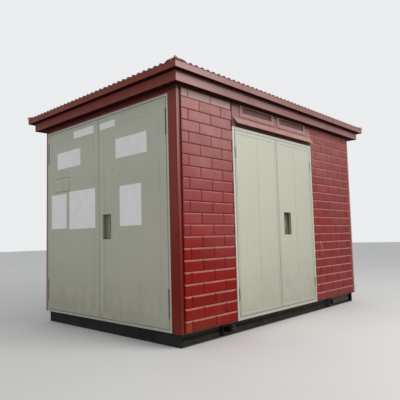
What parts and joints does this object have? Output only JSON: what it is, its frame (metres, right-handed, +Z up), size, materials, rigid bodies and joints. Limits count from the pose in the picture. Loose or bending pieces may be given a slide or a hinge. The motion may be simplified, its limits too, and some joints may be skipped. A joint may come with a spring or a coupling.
{
  "type": "compact substation enclosure",
  "caption": "Walk-up steel kiosk for a compact substation: brick-embossed long walls, double doors on all sides, louvred vents, stepped cornice, hip roof and channel base.",
  "frame": {"origin": "on the ground under the middle of the roof outline", "axes": "+X along the long walls, away from the end whose doors open; -Y out of the front, the long wall whose doors open; +Z up"},
  "size_m": [3.808, 2.658, 2.6879],
  "materials": {
    "red_paint": "satin dark red enamel, weathered",
    "red_brick_sheet": "satin brick red enamel on embossed sheet",
    "roof_sheet": "matt brick red coated profiled sheet",
    "door_paint": "satin pale grey-cream enamel, dusty, with rain streaks",
    "inner_paint": "matt pale grey",
    "base_steel": "matt black primer with rust and dirt",
    "floor_steel": "matt dark grey",
    "hinge_steel": "dark oxidised steel",
    "lever_metal": "dull zinc plated"
  },
  "bodies": {
    "housing": {"base_long_channels": "base_steel", "base_end_channels": "base_steel", "lifting_sleeves": "base_steel", "base_cross_beams": "base_steel", "lifting_lugs": "base_steel", "floor_plate": "floor_steel", "front_corner_posts": "red_paint", "back_corner_posts": "red_paint", "front_brick_wall_left": "red_brick_sheet", "front_brick_wall_right": "red_brick_sheet", "back_brick_wall_left": "red_brick_sheet", "back_brick_wall_right": "red_brick_sheet", "front_vent_panel": "red_paint", "back_vent_panel": "red_paint", "louvre_blades": "red_paint", "rain_hoods": "red_paint", "end_top_rails": "red_paint", "ceiling_panel": "inner_paint", "lower_cornice": "red_paint", "upper_cornice": "red_paint", "roof_front": "roof_sheet", "roof_back": "roof_sheet", "roof_left": "roof_sheet", "roof_right": "roof_sheet", "roof_caps": "roof_sheet", "front_door_frame": "door_paint", "back_door_frame": "door_paint", "left_end_door_frame": "door_paint", "right_end_door_frame": "door_paint", "front_hinge_pins": "hinge_steel", "left_end_hinge_pins": "hinge_steel", "fixed_door_hinges": "hinge_steel", "back_leaves": "door_paint", "right_end_leaves": "door_paint", "fixed_lock_levers": "lever_metal"},
    "front_left_door": {"front_left_leaf": "door_paint", "front_left_knuckles": "hinge_steel"},
    "front_right_door": {"front_right_leaf": "door_paint", "front_right_knuckles": "hinge_steel", "front_lock_lever": "lever_metal"},
    "left_end_left_door": {"left_end_left_leaf": "door_paint", "left_end_left_knuckles": "hinge_steel"},
    "left_end_right_door": {"left_end_right_leaf": "door_paint", "left_end_right_knuckles": "hinge_steel", "left_end_lock_lever": "lever_metal"}
  },
  "joints": [
    {"name": "front_left_hinge", "type": "hinge", "parent": "housing", "child": "front_left_door", "pos_m": [-0.92, -1.165, 1.2], "axis": [0, 0, -1], "range_deg": [0, 110]},
    {"name": "front_right_hinge", "type": "hinge", "parent": "housing", "child": "front_right_door", "pos_m": [0.6, -1.165, 1.2], "axis": [0, 0, 1], "range_deg": [0, 110]},
    {"name": "left_end_left_hinge", "type": "hinge", "parent": "housing", "child": "left_end_left_door", "pos_m": [-1.74, 1.095, 1.2], "axis": [0, 0, -1], "range_deg": [0, 110]},
    {"name": "left_end_right_hinge", "type": "hinge", "parent": "housing", "child": "left_end_right_door", "pos_m": [-1.74, -1.017, 1.2], "axis": [0, 0, 1], "range_deg": [0, 110]}
  ]
}
